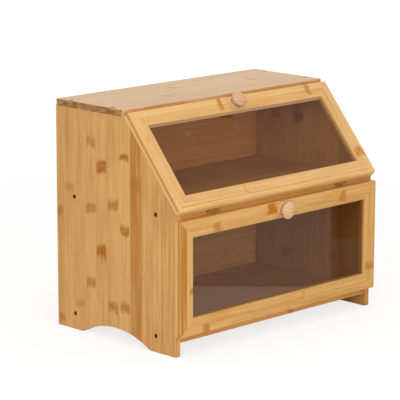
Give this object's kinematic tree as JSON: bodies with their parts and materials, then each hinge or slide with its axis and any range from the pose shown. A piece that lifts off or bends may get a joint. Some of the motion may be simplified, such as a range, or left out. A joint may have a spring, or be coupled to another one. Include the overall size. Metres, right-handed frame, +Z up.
{
  "type": "bread box",
  "caption": "Two-storey bamboo bread box with a sloping upper and an upright lower drop-front door, framed clear windows and round wooden knobs.",
  "frame": {"origin": "on the table surface, in the middle of the overall box in width and in depth", "axes": "+X to the right seen from the front, -Y towards the doors and their knobs, +Z up"},
  "size_m": [0.392, 0.262, 0.3253],
  "materials": {
    "side_bamboo": "satin oiled bamboo",
    "top_bamboo": "satin oiled bamboo",
    "inner_bamboo": "satin oiled bamboo",
    "upper_door_bamboo": "satin oiled bamboo",
    "lower_door_bamboo": "satin oiled bamboo",
    "clear_acrylic": "clear glossy sheet",
    "knob_wood": "lacquered turned wood",
    "catch_plastic": "matt dark brown",
    "magnet": "plain",
    "hinge_steel": "nickel plated",
    "strike_steel": "nickel plated",
    "screw_steel": "plain"
  },
  "bodies": {
    "cabinet": {"side_panel_left": "side_bamboo", "side_panel_right": "side_bamboo", "top_panel": "top_bamboo", "middle_shelf": "inner_bamboo", "bottom_panel": "inner_bamboo", "back_panel": "inner_bamboo", "side_screws_left": "screw_steel", "side_screws_right": "screw_steel", "top_screws": "screw_steel", "upper_catch_body": "catch_plastic", "upper_catch_magnet": "magnet", "lower_catch_body": "catch_plastic", "lower_catch_magnet": "magnet", "catch_screws": "screw_steel", "upper_cabinet_hinge_leaf_left": "hinge_steel", "upper_cabinet_hinge_leaf_right": "hinge_steel", "lower_cabinet_hinge_leaf_left": "hinge_steel", "lower_cabinet_hinge_leaf_right": "hinge_steel", "cabinet_hinge_screws": "screw_steel", "hinge_pins": "hinge_steel"},
    "upper_door": {"upper_bottom_rail": "upper_door_bamboo", "upper_top_rail": "upper_door_bamboo", "upper_left_stile": "upper_door_bamboo", "upper_right_stile": "upper_door_bamboo", "upper_window_pane": "clear_acrylic", "upper_knob": "knob_wood", "upper_knob_screw": "screw_steel", "upper_strike_plate": "strike_steel", "upper_strike_screw": "screw_steel", "upper_door_hinge_leaf_left": "hinge_steel", "upper_door_hinge_leaf_right": "hinge_steel", "upper_door_hinge_screws": "screw_steel"},
    "lower_door": {"lower_bottom_rail": "lower_door_bamboo", "lower_top_rail": "lower_door_bamboo", "lower_left_stile": "lower_door_bamboo", "lower_right_stile": "lower_door_bamboo", "lower_window_pane": "clear_acrylic", "lower_knob": "knob_wood", "lower_knob_screw": "screw_steel", "lower_strike_plate": "strike_steel", "lower_strike_screw": "screw_steel", "lower_door_hinge_leaf_left": "hinge_steel", "lower_door_hinge_leaf_right": "hinge_steel", "lower_door_hinge_screws": "screw_steel"}
  },
  "joints": [
    {"name": "upper_door_hinge", "type": "hinge", "parent": "cabinet", "child": "upper_door", "pos_m": [0, -0.10722, 0.19049], "axis": [1, 0, 0], "range_deg": [0, 85]},
    {"name": "lower_door_hinge", "type": "hinge", "parent": "cabinet", "child": "lower_door", "pos_m": [0, -0.1035, 0.027], "axis": [1, 0, 0], "range_deg": [0, 88]}
  ]
}
